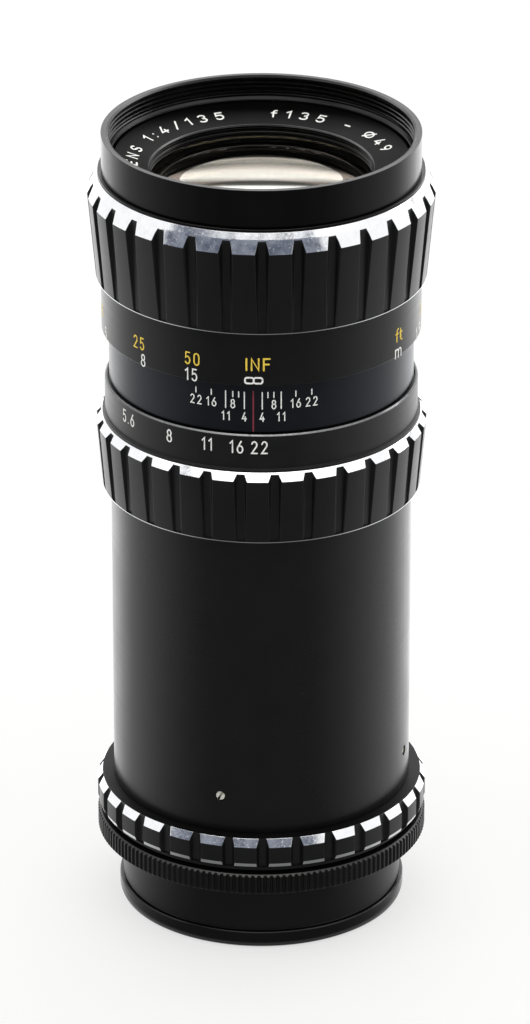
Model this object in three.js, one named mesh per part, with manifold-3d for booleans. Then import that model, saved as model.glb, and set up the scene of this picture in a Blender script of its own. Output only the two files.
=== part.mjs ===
// A 135 mm f/4 telephoto lens for a 35 mm reflex camera, standing on its screw-on rear cap.
// Millimetres, +Z up along the optical axis, origin at the centre of the cap's base.
// Angles are bearings about the axis, in degrees, from the index mark at -Y towards +X.

import * as THREE from 'three';
import { mergeVertices } from 'three/addons/utils/BufferGeometryUtils.js';
import Module from 'manifold-3d';

const wasm = await Module();
wasm.setup();

// Driving dimensions: stations along the axis.
const CAP_TOP = 15.2;
const FLANGE = 15.65;
const TUBE_FOOT = 21.5;
const APERTURE_RING = 73.85;
const INDEX_BARREL = 92.7;
const FOCUS_RING = 101.1;
const FOCUS_GRIP = 110.1;
const RIM = 127.85;
const TOP = 134.1;

// Driving dimensions: radii of what the hand and the eye meet.
const CAP_COLLAR_R = 27.0;
const THREAD_R = 21.0;
const TUBE_R = 24.3;
const INDEX_R = 24.5;
const SCALE_R = 25.65;
const NUMBER_R = 25.2;
const RIM_R = 25.5;

// Running and seating clearances.
const RUN = 0.15;
const SEAT = 0.05;
const FIT = 0.1;

// Motion: the iris opens as the aperture ring turns from f/22 to f/4.
const APERTURE_MIN = -2.3;
const APERTURE_MAX = 87;
const BLADES = 8;
const IRIS_OPEN_R = 10.2;
const IRIS_CLOSED_R = 1.85;
const PIVOT_R = 15;
const SWING = 2 * Math.asin((IRIS_OPEN_R - IRIS_CLOSED_R) / (2 * PIVOT_R)) / (Math.PI / 180);
const SWING_RATIO = SWING / (APERTURE_MAX - APERTURE_MIN);

// The moving linkage stands at this bearing when the lens is stopped down.
const LINKAGE_BEARING = 180;

const RAD = Math.PI / 180;
const FINE = 36;
const PLAIN = 24;

const material = (color, roughness, metalness) => (
  new THREE.MeshStandardMaterial({ color, roughness, metalness })
);
const BLACK_ANODISED = material(0x17181a, 0.34, 0.6);
const BLUE_BLACK = material(0x17181d, 0.5, 0.5);
const MATT_BLACK = material(0x0e0e0f, 0.8, 0.1);
const CAP_BLACK = material(0x1b1b1c, 0.45, 0.1);
const CHROME = material(0xd8dadd, 0.18, 1);
const STEEL = material(0x9a9a98, 0.35, 1);
const BRASS = material(0xb08d45, 0.35, 1);
const GLASS = material(0x5c5a4c, 0.05, 0);

// ---------------------------------------------------------------- solids

function solid(geometry) {
  const bare = geometry.clone();
  bare.deleteAttribute('normal');
  bare.deleteAttribute('uv');
  const merged = mergeVertices(bare, 1e-4);
  const points = merged.attributes.position.array;
  const index = merged.index.array;
  const at = (i) => new THREE.Vector3().fromArray(points, i * 3);
  const faces = [];
  let volume = 0;
  for (let i = 0; i < index.length; i += 3) {
    const [a, b, c] = [index[i], index[i + 1], index[i + 2]];
    if (a !== b && b !== c && c !== a) {
      faces.push([a, b, c]);
      volume += at(a).dot(at(b).cross(at(c)));
    }
  }
  const outward = volume < 0 ? faces.map(([a, b, c]) => [a, c, b]) : faces;
  const mesh = new wasm.Mesh({
    numProp: 3,
    vertProperties: new Float32Array(points),
    triVerts: new Uint32Array(outward.flat()),
  });
  return new wasm.Manifold(mesh);
}

function geometryOf(body) {
  const mesh = body.getMesh();
  const geometry = new THREE.BufferGeometry();
  geometry.setAttribute('position', new THREE.BufferAttribute(mesh.vertProperties, 3));
  geometry.setIndex(new THREE.BufferAttribute(mesh.triVerts, 1));
  geometry.computeVertexNormals();
  return geometry;
}

const cut = (body, tools) => tools.reduce((left, tool) => left.subtract(tool), body);

// A turned solid about Z. The outline is [radius, height] points, closed or from axis to axis.
function turned(outline, segments = FINE) {
  const onAxis = outline[0][0] === 0;
  const closed = onAxis ? outline : [...outline, outline[0]];
  const points = closed.map(([r, z]) => new THREE.Vector2(r, z));
  return solid(new THREE.LatheGeometry(points, segments).rotateX(Math.PI / 2));
}

// Turns geometry made with +Y as the way out to a bearing about the axis.
const toBearing = (geometry, bearing) => geometry.rotateZ((bearing + 180) * RAD);

// A round bar that runs out along a bearing between two radii.
function radialBar(radius, from, to, bearing, z, sides = 8) {
  const bar = new THREE.CylinderGeometry(radius, radius, to - from, sides);
  return solid(toBearing(bar.translate(0, (from + to) / 2, 0), bearing).translate(0, 0, z));
}

function uprightBar(radius, foot, top, x, y, sides = 8) {
  const bar = new THREE.CylinderGeometry(radius, radius, top - foot, sides).rotateX(Math.PI / 2);
  return solid(bar.translate(x, y, (foot + top) / 2));
}

// A stretch of ring between two bearings, from foot to foot + height.
function arcBlock(inner, outer, from, to, foot, height, steps = 12) {
  const shape = new THREE.Shape();
  const [a, b] = [(from - 90) * RAD, (to - 90) * RAD];
  shape.absarc(0, 0, outer, a, b, false);
  shape.absarc(0, 0, inner, b, a, true);
  const options = { depth: height, bevelEnabled: false, curveSegments: steps };
  return solid(new THREE.ExtrudeGeometry(shape, options).translate(0, 0, foot));
}

function box(width, depth, height, bearing, radius, z) {
  const block = new THREE.BoxGeometry(width, depth, height);
  return solid(toBearing(block.translate(0, radius, 0), bearing).translate(0, 0, z));
}

// A slotted set screw lying along a bearing, its slot upright.
function setScrew(radius, from, to, bearing, z) {
  const slot = box(0.35, 0.9, radius * 3, bearing, to, z);
  return radialBar(radius, from, to, bearing, z).subtract(slot);
}

const bearings = (count, first) => (
  Array.from({ length: count }, (unused, i) => first + (i * 360) / count)
);

// Cuts the lengthways slots of a grip. Each slot is a trapezoid, wider outside, whose floor
// runs straight from footFloor at foot to topFloor at top.
function slotted(body, { count, first, foot, top, footFloor, topFloor }) {
  const floorHalf = 0.62;
  const flare = Math.tan(28 * RAD);
  const reach = 3;
  const overrun = 0.5;
  const length = Math.hypot(top - foot, topFloor - footFloor);
  const tilt = Math.atan2(topFloor - footFloor, top - foot);
  const shape = new THREE.Shape([
    new THREE.Vector2(-floorHalf, 0),
    new THREE.Vector2(floorHalf, 0),
    new THREE.Vector2(floorHalf + reach * flare, reach),
    new THREE.Vector2(-floorHalf - reach * flare, reach),
  ]);
  const options = { depth: length + 2 * overrun, bevelEnabled: false };
  const tools = bearings(count, first).map((bearing) => {
    const tool = new THREE.ExtrudeGeometry(shape, options).translate(0, 0, -overrun);
    tool.rotateX(-tilt).translate(0, footFloor, foot);
    return solid(toBearing(tool, bearing));
  });
  return cut(body, tools);
}

// Points of a lens surface from the axis out to a rim. A positive radius bulges upwards.
function surface(apex, radius, rim, steps = 3) {
  const points = [];
  for (let i = 0; i <= steps; i += 1) {
    const r = (rim * i) / steps;
    const sag = Math.abs(radius) - Math.sqrt(radius * radius - r * r);
    points.push([r, apex - Math.sign(radius) * sag]);
  }
  return points;
}

const glass = (upper, lower) => turned([...upper, ...lower.reverse()], PLAIN);

// ---------------------------------------------------------------- assembly

const lens = new THREE.Group();

function bodyGroup() {
  const group = new THREE.Group();
  lens.add(group);
  return group;
}

function place(group, name, body, finish) {
  const mesh = new THREE.Mesh(geometryOf(body), finish);
  mesh.name = name;
  group.add(mesh);
  return mesh;
}

// ---------------------------------------------------------------- rear cap

function rearCap() {
  const sleeve = 22.9;
  const bead = 23.45;
  const bore = THREAD_R + 0.3;
  const floor = 2;
  return turned([
    [0, 0],
    [22.6, 0],
    [bead - 0.25, 0.3],
    [bead, 0.9],
    [bead, 1.9],
    [sleeve, 2.6],
    [sleeve - 0.3, 2.7],
    [sleeve - 0.3, 3.1],
    [sleeve, 3.25],
    [sleeve, 11.6],
    [CAP_COLLAR_R - 0.3, 11.6],
    [CAP_COLLAR_R, 11.9],
    [CAP_COLLAR_R, CAP_TOP - 0.3],
    [CAP_COLLAR_R - 0.3, CAP_TOP],
    [bore, CAP_TOP],
    [bore, floor],
    [0, floor],
  ]);
}

place(bodyGroup(), 'rear_cap', rearCap(), CAP_BLACK);

// ---------------------------------------------------------------- fixed barrel

const barrel = bodyGroup();

const TUBE_BORE = 22.65;
const RING_SEAT_R = 24.0;
const SPIGOT_R = 23.5;
const SPIGOT_TOP = 97.6;
const TUBE_SCREW_Z = 27.8;
const TUBE_SCREW_R = 0.82;
const TUBE_SCREWS = bearings(4, -13);
const HELICOID_SCREW_Z = 95;
const HELICOID_SCREW_R = 0.7;
const HELICOID_SCREWS = bearings(3, 60);
const LINK_Z = 88.95;
const LINK_SCREW_R = 0.6;
const CLICK_Z = 77;
const CLICK_BEARING = 90;
const CLICK_BALL_R = 0.6;

function helicoidScrewHoles() {
  return HELICOID_SCREWS.map((bearing) => (
    radialBar(HELICOID_SCREW_R + RUN, 21.8, 24, bearing, HELICOID_SCREW_Z)
  ));
}

function mainBarrel() {
  const tube = turned([
    [TUBE_BORE, TUBE_FOOT + SEAT],
    [TUBE_R, TUBE_FOOT + SEAT],
    [TUBE_R, APERTURE_RING - 0.25],
    [RING_SEAT_R, APERTURE_RING - 0.25],
    [RING_SEAT_R, INDEX_BARREL - FIT],
    [SPIGOT_R, INDEX_BARREL - FIT],
    [SPIGOT_R, SPIGOT_TOP],
    [TUBE_BORE, SPIGOT_TOP],
  ]);
  const screwHoles = TUBE_SCREWS.map((bearing) => (
    radialBar(TUBE_SCREW_R + RUN, 22, 25, bearing, TUBE_SCREW_Z)
  ));
  const margin = 3;
  const linkHeight = 2 * (LINK_SCREW_R + 0.25);
  const linkSlot = arcBlock(
    22,
    RING_SEAT_R + 1,
    LINKAGE_BEARING + APERTURE_MIN - margin,
    LINKAGE_BEARING + APERTURE_MAX + margin,
    LINK_Z - linkHeight / 2,
    linkHeight,
  );
  const ballHole = radialBar(CLICK_BALL_R + RUN, 22, 25, CLICK_BEARING, CLICK_Z);
  return cut(tube, [...screwHoles, ...helicoidScrewHoles(), linkSlot, ballHole]);
}

// The black sleeve that carries the index line and the depth-of-field scale.
function indexBarrel() {
  return turned([
    [SPIGOT_R + FIT, INDEX_BARREL],
    [INDEX_R, INDEX_BARREL],
    [INDEX_R, FOCUS_RING + 17.3],
    [INDEX_R - 0.75, FOCUS_RING + 17.3],
    [INDEX_R - 0.75, SPIGOT_TOP + FIT],
    [SPIGOT_R + FIT, SPIGOT_TOP + FIT],
  ]);
}

const HELICOID_BORE = 21.6;
const HELICOID_R = 22.35;
const HELICOID_FOOT_Z = 93;
const HELICOID_TOP_Z = 117.5;
const KEY_Z = 112;
const KEY_BEARING = 0;
const KEY_SCREW_R = 0.6;

function fixedHelicoid() {
  const sleeve = turned([
    [HELICOID_BORE, HELICOID_FOOT_Z],
    [TUBE_BORE - FIT, HELICOID_FOOT_Z],
    [TUBE_BORE - FIT, 97],
    [HELICOID_R, 97],
    [HELICOID_R, HELICOID_TOP_Z],
    [HELICOID_BORE, HELICOID_TOP_Z],
  ]);
  const keyHole = radialBar(KEY_SCREW_R + RUN, 21, 23, KEY_BEARING, KEY_Z);
  return cut(sleeve, [...helicoidScrewHoles(), keyHole]);
}

// The screw-thread mount with its long spigot, which the four tube screws grip.
function mountRing() {
  const bore = 19.2;
  const spigotBore = 21.3;
  return turned([
    [bore, 11],
    [THREAD_R - 0.3, 11],
    [THREAD_R, 11.3],
    [THREAD_R, FLANGE],
    [24, FLANGE],
    [24, FLANGE + 0.65],
    [TUBE_BORE - FIT, FLANGE + 0.65],
    [TUBE_BORE - FIT, 31],
    [spigotBore, 31],
    [spigotBore, FLANGE + 0.95],
    [bore, FLANGE + 0.95],
  ]);
}

function rearGripRing() {
  const ring = turned([
    [TUBE_BORE, FLANGE + 0.75],
    [24.15, FLANGE + 0.75],
    [24.15, FLANGE],
    [26, FLANGE],
    [26, 16.5],
    [26.4, 16.5],
    [27, 17.7],
    [27, 20.3],
    [26.1, TUBE_FOOT],
    [TUBE_BORE, TUBE_FOOT],
  ]);
  return slotted(ring, {
    count: 30, first: 3.45, foot: 16, top: TUBE_FOOT, footFloor: 26.2, topFloor: 26.2,
  });
}

function rearBaffle() {
  return turned([[15.5, 31.2], [TUBE_BORE - RUN, 31.2], [TUBE_BORE - RUN, 32.4], [16, 32.4]], PLAIN);
}

place(barrel, 'main_barrel', mainBarrel(), BLACK_ANODISED);
place(barrel, 'index_barrel', indexBarrel(), BLUE_BLACK);
place(barrel, 'fixed_helicoid', fixedHelicoid(), BRASS);
place(barrel, 'mount_ring', mountRing(), CHROME);
place(barrel, 'rear_grip_ring', rearGripRing(), MATT_BLACK);
place(barrel, 'rear_baffle', rearBaffle(), MATT_BLACK);
place(barrel, 'guide_key', box(3, 0.7, 4, KEY_BEARING, 21.1, KEY_Z), BRASS);
place(
  barrel,
  'guide_key_screw',
  setScrew(KEY_SCREW_R, 21.5, HELICOID_R - SEAT, KEY_BEARING, KEY_Z),
  STEEL,
);
TUBE_SCREWS.forEach((bearing, i) => {
  const screw = setScrew(TUBE_SCREW_R, TUBE_BORE, TUBE_R - SEAT, bearing, TUBE_SCREW_Z);
  place(barrel, `tube_screw_${i + 1}`, screw, STEEL);
});
HELICOID_SCREWS.forEach((bearing, i) => {
  const screw = setScrew(HELICOID_SCREW_R, 21.9, SPIGOT_R - SEAT, bearing, HELICOID_SCREW_Z);
  place(barrel, `helicoid_screw_${i + 1}`, screw, STEEL);
});

// The click stop: a ball in the wall of the barrel, pressed out by a leaf spring.
function clickBall() {
  const ball = new THREE.SphereGeometry(CLICK_BALL_R, 10, 8);
  return solid(toBearing(ball.translate(0, 23.38, 0), CLICK_BEARING).translate(0, 0, CLICK_Z));
}

place(barrel, 'click_ball', clickBall(), STEEL);
place(
  barrel,
  'click_spring',
  arcBlock(22.2, 22.5, CLICK_BEARING - 20, CLICK_BEARING + 20, CLICK_Z - 1, 2),
  STEEL,
);

// ---------------------------------------------------------------- aperture ring

const apertureRing = bodyGroup();

const CARRIER_R = 24.6;
const CARRIER_BORE = RING_SEAT_R + RUN;
const BAND_FOOT = 86.3;
const LINK_INNER = 19;
const FORK_OUTER = 20.2;
const PIN_Z = 94.2;
const PIN_R = 0.7;

function apertureGrip() {
  const ring = turned([
    [CARRIER_BORE, APERTURE_RING],
    [25.7, APERTURE_RING],
    [26.6, 84.9],
    [25.65, BAND_FOOT - FIT],
    [CARRIER_R, BAND_FOOT - FIT],
    [CARRIER_R, INDEX_BARREL - 0.4],
    [CARRIER_BORE, INDEX_BARREL - 0.4],
  ]);
  const grip = slotted(ring, {
    count: 30, first: 7.7, foot: APERTURE_RING, top: 85.9, footFloor: 25.4, topFloor: 25.85,
  });
  const hole = radialBar(LINK_SCREW_R + RUN, 24, 25, LINKAGE_BEARING, LINK_Z);
  return grip.subtract(hole);
}

function apertureScaleRing() {
  return turned([
    [CARRIER_R + SEAT, BAND_FOOT],
    [25.65, BAND_FOOT],
    [25.65, BAND_FOOT + 0.3],
    [NUMBER_R, BAND_FOOT + 0.35],
    [NUMBER_R, 91.9],
    [NUMBER_R - 0.4, 92.5],
    [CARRIER_R + SEAT, 92.5],
  ]);
}

function apertureBridge() {
  const [from, to] = [LINKAGE_BEARING - 9, LINKAGE_BEARING + 9];
  const bridge = arcBlock(LINK_INNER, 22.3, from, to, LINK_Z - 0.95, 1.9, 4);
  return bridge.subtract(radialBar(LINK_SCREW_R + RUN, 20.4, 23, LINKAGE_BEARING, LINK_Z));
}

// The fork that turns the iris: its two tines let the drive pin travel up with the head.
function irisFork() {
  const foot = LINK_Z + 0.95 + SEAT;
  const top = 111;
  const [from, to] = [LINKAGE_BEARING - 7.5, LINKAGE_BEARING + 7.5];
  const plate = arcBlock(LINK_INNER, FORK_OUTER, from, to, foot, top - foot, 4);
  const slotFoot = 91.5;
  const slotHeight = top + 1 - slotFoot;
  const width = 2 * PIN_R + 0.5;
  return plate.subtract(box(width, 4, slotHeight, LINKAGE_BEARING, 19.6, slotFoot + slotHeight / 2));
}

place(apertureRing, 'aperture_grip', apertureGrip(), BLACK_ANODISED);
place(apertureRing, 'aperture_scale_ring', apertureScaleRing(), BLACK_ANODISED);
place(apertureRing, 'aperture_bridge', apertureBridge(), BRASS);
place(apertureRing, 'iris_fork', irisFork(), BRASS);
place(
  apertureRing,
  'aperture_drive_screw',
  setScrew(LINK_SCREW_R, 20.5, CARRIER_R - SEAT, LINKAGE_BEARING, LINK_Z),
  STEEL,
);

// ---------------------------------------------------------------- focusing ring

const focusRing = bodyGroup();

function focusGrip() {
  const ring = turned([
    [25.3, FOCUS_GRIP],
    [26.45, FOCUS_GRIP],
    [27.75, 124.2],
    [26.1, 127.3],
    [24.7, 127.3],
    [24.7, 118.9],
    [25.3, 118.9],
  ]);
  return slotted(ring, {
    count: 30, first: 3.2, foot: FOCUS_GRIP, top: 125.9, footFloor: 26.2, topFloor: 26.84,
  });
}

function focusScaleRing() {
  return turned([
    [INDEX_R + 0.2, FOCUS_RING],
    [SCALE_R, FOCUS_RING],
    [SCALE_R, FOCUS_GRIP - SEAT],
    [25.2, FOCUS_GRIP - SEAT],
    [25.2, 118.7],
    [INDEX_R + 0.2, 118.7],
  ]);
}

// The threaded sleeve that runs between the fixed helicoid and the index barrel.
function focusHelicoid() {
  return turned([
    [HELICOID_R + RUN, 98.2],
    [23.6, 98.2],
    [23.6, 119],
    [24.6, 119],
    [24.6, 122.1],
    [21.55, 122.1],
    [21.55, 119.5],
    [HELICOID_R + RUN, 119.5],
  ]);
}

place(focusRing, 'focus_grip', focusGrip(), BLACK_ANODISED);
place(focusRing, 'focus_scale_ring', focusScaleRing(), BLACK_ANODISED);
place(focusRing, 'focus_helicoid', focusHelicoid(), BRASS);

// ---------------------------------------------------------------- sliding head

const head = bodyGroup();

const SLEEVE_R = 21.4;
const SLEEVE_BORE = 20.6;
const HEAD_FLANGE_Z = 122.2;
const HEAD_SCREW_R = 0.8;
const HEAD_SCREW_CIRCLE = 23.2;
const HEAD_SCREWS = bearings(3, 30);

function onCircle(radius, bearing) {
  return [radius * Math.sin(bearing * RAD), -radius * Math.cos(bearing * RAD)];
}

function headScrewBars(radius, foot, top) {
  return HEAD_SCREWS.map((bearing) => {
    const [x, y] = onCircle(HEAD_SCREW_CIRCLE, bearing);
    return uprightBar(radius, foot, top, x, y);
  });
}

function headSleeve() {
  const sleeve = turned([
    [SLEEVE_BORE, 94.5],
    [SLEEVE_R, 94.5],
    [SLEEVE_R, HEAD_FLANGE_Z],
    [24.5, HEAD_FLANGE_Z],
    [24.5, 123],
    [SLEEVE_BORE, 123],
  ]);
  const keyway = box(3.4, 3, 22, KEY_BEARING, 21, 114.4 - 11);
  return cut(sleeve, [keyway, ...headScrewBars(HEAD_SCREW_R + RUN, 121, 124)]);
}

function filterRim() {
  const rim = turned([
    [22, 123 + SEAT],
    [24.4, 123 + SEAT],
    [24.4, RIM],
    [RIM_R, RIM],
    [RIM_R, TOP],
    [RIM_R - 0.65, TOP],
    [24.3, TOP - 0.5],
    [24.3, 130.1],
    [23.9, 130.1],
    [23.9, 127.1],
    [22, 127.1],
  ]);
  return cut(rim, headScrewBars(HEAD_SCREW_R + RUN, 122, 125.8));
}

function opticsBarrel() {
  const tube = turned([
    [17.2, 78],
    [18.2, 78],
    [18.2, 112.4],
    [20.4, 112.4],
    [20.4, 123.1],
    [21.9, 123.1],
    [21.9, 126.9],
    [19.35, 126.9],
    [19.35, 119.5],
    [16.95, 119.5],
    [16.95, 105.8],
    [15.4, 105.8],
    [15.4, 104.6],
    [12.6, 97],
    [12.6, 95.7],
    [17.2, 95.7],
  ]);
  const margin = 4;
  const pinSlot = arcBlock(
    16,
    19,
    LINKAGE_BEARING + APERTURE_MIN - margin,
    LINKAGE_BEARING + APERTURE_MAX + margin,
    PIN_Z - PIN_R - 0.3,
    2 * (PIN_R + 0.3),
  );
  return tube.subtract(pinSlot);
}

const ring = (inner, outer, foot, top, segments = PLAIN) => (
  turned([[inner, foot], [outer, foot], [outer, top], [inner, top]], segments)
);

place(head, 'filter_rim', filterRim(), BLACK_ANODISED);
place(head, 'rim_collar', ring(24.5, 26.1, 127.4, 127.75, FINE), BLACK_ANODISED);
place(
  head,
  'name_ring',
  turned([[17.65, 127.2], [23.8, 127.2], [23.8, 129.9], [17.65, 128.1]]),
  MATT_BLACK,
);
place(head, 'front_retaining_ring', ring(17.65, 19.25, 126.2, 127.1), MATT_BLACK);
place(head, 'head_sleeve', headSleeve(), BRASS);
place(head, 'thrust_ring', ring(SLEEVE_R + SEAT, 22.3, 118.2, 119.4, FINE), BRASS);
place(head, 'optics_barrel', opticsBarrel(), MATT_BLACK);
headScrewBars(HEAD_SCREW_R, HEAD_FLANGE_Z + SEAT, 125.6).forEach((screw, i) => {
  place(head, `head_screw_${i + 1}`, screw, STEEL);
});

// Optics: a thick meniscus, a cemented pair, the iris and a rear singlet.
function rearDoubletGlass() {
  const hollow = surface(109.5, 32, 14.4);
  return glass(surface(112.45, -150, 16.8), [...hollow, [16.8, 106]]);
}

place(head, 'front_element', glass(surface(128.2, 75, 19.2), surface(121.5, 200, 19.2)), GLASS);
place(head, 'lens_spacer', ring(17.1, 19.25, 119.6, 120.45), MATT_BLACK);
place(head, 'doublet_front', glass(surface(119, 45, 16.8), surface(112.5, -150, 16.8)), GLASS);
place(head, 'doublet_rear', rearDoubletGlass(), GLASS);
place(
  head,
  'rear_cell',
  turned([[13.1, 79], [17.1, 79], [17.1, 88.9], [12, 88.9], [12, 83.8], [13.1, 83.8]], PLAIN),
  MATT_BLACK,
);
place(head, 'rear_element', glass(surface(84.9, 60, 13), surface(80.6, -60, 13)), GLASS);
place(head, 'rear_retaining_ring', ring(11.9, 13, 79.2, 81.7), MATT_BLACK);

// ---------------------------------------------------------------- iris

const BLADE_Z = 90;
const BLADE_PITCH = 0.3;
const BLADE_THICKNESS = 0.15;
const BLADE_OUTER_R = 15.8;
const BLADE_SPAN = 147;
const STUD_R = 0.5;
const CAM_Z = BLADE_Z + BLADES * BLADE_PITCH + 0.05;
const PIVOTS = bearings(BLADES, 0);

function irisHousing() {
  const plate = ring(IRIS_OPEN_R + 0.2, 17.1, 89, 89.8);
  const holes = PIVOTS.map((bearing) => {
    const [x, y] = onCircle(PIVOT_R, bearing);
    return uprightBar(STUD_R + RUN, 88, 91, x, y, 6);
  });
  return cut(plate, holes);
}

// One blade as it lies with the iris open: a crescent about the axis, with its pivot stud
// underneath at the local origin and its drive stud on top at the far end.
function irisBlade() {
  const middle = (IRIS_OPEN_R + BLADE_OUTER_R) / 2;
  const cap = (BLADE_OUTER_R - IRIS_OPEN_R) / 2;
  const end = -BLADE_SPAN * RAD;
  const shape = new THREE.Shape();
  shape.absarc(0, 0, BLADE_OUTER_R, end, 0, false);
  shape.absarc(middle, 0, cap, 0, Math.PI, false);
  shape.absarc(0, 0, IRIS_OPEN_R, 0, end, true);
  shape.absarc(middle * Math.cos(end), middle * Math.sin(end), cap, end + Math.PI, end + 2 * Math.PI, false);
  const options = { depth: BLADE_THICKNESS, bevelEnabled: false, curveSegments: 5 };
  const plate = solid(new THREE.ExtrudeGeometry(shape, options));
  const pivot = uprightBar(STUD_R, -0.06, 0.05, PIVOT_R, 0, 6);
  const drive = uprightBar(
    STUD_R,
    0.1,
    BLADE_THICKNESS + 0.05,
    PIVOT_R * Math.cos(end),
    PIVOT_R * Math.sin(end),
    6,
  );
  return plate.add(pivot).add(drive).translate([-PIVOT_R, 0, 0]);
}

// Where a blade's drive stud is, seen from the cam ring, as the ring turns by `turn`
// degrees back from wide open. The blade's pivot is at bearing angle zero on +X.
function studSeenFromCam(turn) {
  const swing = -turn * SWING_RATIO * RAD;
  const arm = new THREE.Vector2(PIVOT_R, 0).rotateAround(new THREE.Vector2(), -BLADE_SPAN * RAD);
  arm.rotateAround(new THREE.Vector2(PIVOT_R, 0), swing);
  return arm.rotateAround(new THREE.Vector2(), turn * RAD);
}

// The outline of a slot that follows the drive stud through the whole of its travel.
function camSlot() {
  const steps = 4;
  const half = STUD_R + 0.1;
  const travel = APERTURE_MAX - APERTURE_MIN;
  const [left, right] = [[], []];
  for (let i = 0; i <= steps; i += 1) {
    const share = i / steps;
    const here = studSeenFromCam(travel * share);
    const ahead = studSeenFromCam(travel * share + 1).sub(here).normalize();
    const reach = half * (i === 0 ? -1 : 1) * (i === 0 || i === steps ? 1 : 0);
    const centre = here.clone().addScaledVector(ahead, reach);
    left.push(new THREE.Vector2(centre.x - ahead.y * half, centre.y + ahead.x * half));
    right.push(new THREE.Vector2(centre.x + ahead.y * half, centre.y - ahead.x * half));
  }
  const outline = new THREE.Shape([...left, ...right.reverse()]);
  const options = { depth: 4, bevelEnabled: false };
  return new THREE.ExtrudeGeometry(outline, options).translate(0, 0, CAM_Z - 1);
}

// The cam ring stands at f/22, so its slots lie turned back from wide open.
function irisCamRing() {
  const plate = turned([
    [IRIS_OPEN_R + 0.4, CAM_Z],
    [17.05, CAM_Z],
    [17.05, 95.4],
    [15.7, 95.4],
    [15.7, CAM_Z + 0.8],
    [IRIS_OPEN_R + 0.4, CAM_Z + 0.8],
  ], 30);
  const slots = PIVOTS.map((bearing) => {
    const angle = (bearing - 90 - APERTURE_MAX) * RAD;
    return solid(camSlot().rotateZ(angle));
  });
  const pinHole = radialBar(PIN_R + RUN, 16.1, 18, LINKAGE_BEARING, PIN_Z);
  return cut(plate, [...slots, pinHole]);
}

const iris = bodyGroup();
place(head, 'iris_housing', irisHousing(), MATT_BLACK);
place(iris, 'iris_cam_ring', irisCamRing(), BRASS);
place(iris, 'iris_drive_pin', radialBar(PIN_R, 16.2, 20, LINKAGE_BEARING, PIN_Z), STEEL);
PIVOTS.forEach((bearing, i) => {
  const blade = place(bodyGroup(), `iris_blade_${i + 1}`, irisBlade(), STEEL);
  const [x, y] = onCircle(PIVOT_R, bearing);
  blade.position.set(x, y, BLADE_Z + i * BLADE_PITCH);
  blade.rotation.z = (bearing - 90 - APERTURE_MAX * SWING_RATIO) * RAD;
});

export default lens;
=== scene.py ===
"""Looks of a telephoto camera lens that stands on its rear cap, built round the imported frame."""

import math

import bmesh
import bpy
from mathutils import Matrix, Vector


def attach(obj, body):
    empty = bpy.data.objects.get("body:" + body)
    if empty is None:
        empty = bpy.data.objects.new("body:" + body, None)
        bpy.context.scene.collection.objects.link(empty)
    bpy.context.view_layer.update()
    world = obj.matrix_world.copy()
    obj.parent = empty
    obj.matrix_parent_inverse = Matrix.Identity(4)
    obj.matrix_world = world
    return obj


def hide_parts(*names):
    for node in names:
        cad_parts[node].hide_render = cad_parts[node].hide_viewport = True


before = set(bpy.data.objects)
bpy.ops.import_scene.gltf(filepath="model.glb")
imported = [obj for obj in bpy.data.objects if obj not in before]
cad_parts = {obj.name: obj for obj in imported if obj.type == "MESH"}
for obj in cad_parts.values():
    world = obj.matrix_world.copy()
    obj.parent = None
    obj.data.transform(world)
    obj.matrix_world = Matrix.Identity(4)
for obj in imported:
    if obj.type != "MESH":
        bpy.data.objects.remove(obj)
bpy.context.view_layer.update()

MM = 0.001
TURN = 2 * math.pi
ROUND = 256  # segments of a visible round piece
INNER = 128  # segments of a round piece inside
EASE = 0.07  # usual edge radius, mm
CREASE = 32  # an edge is sharp where its faces turn by more than this, degrees


# ---------------------------------------------------------------- node trees


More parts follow.
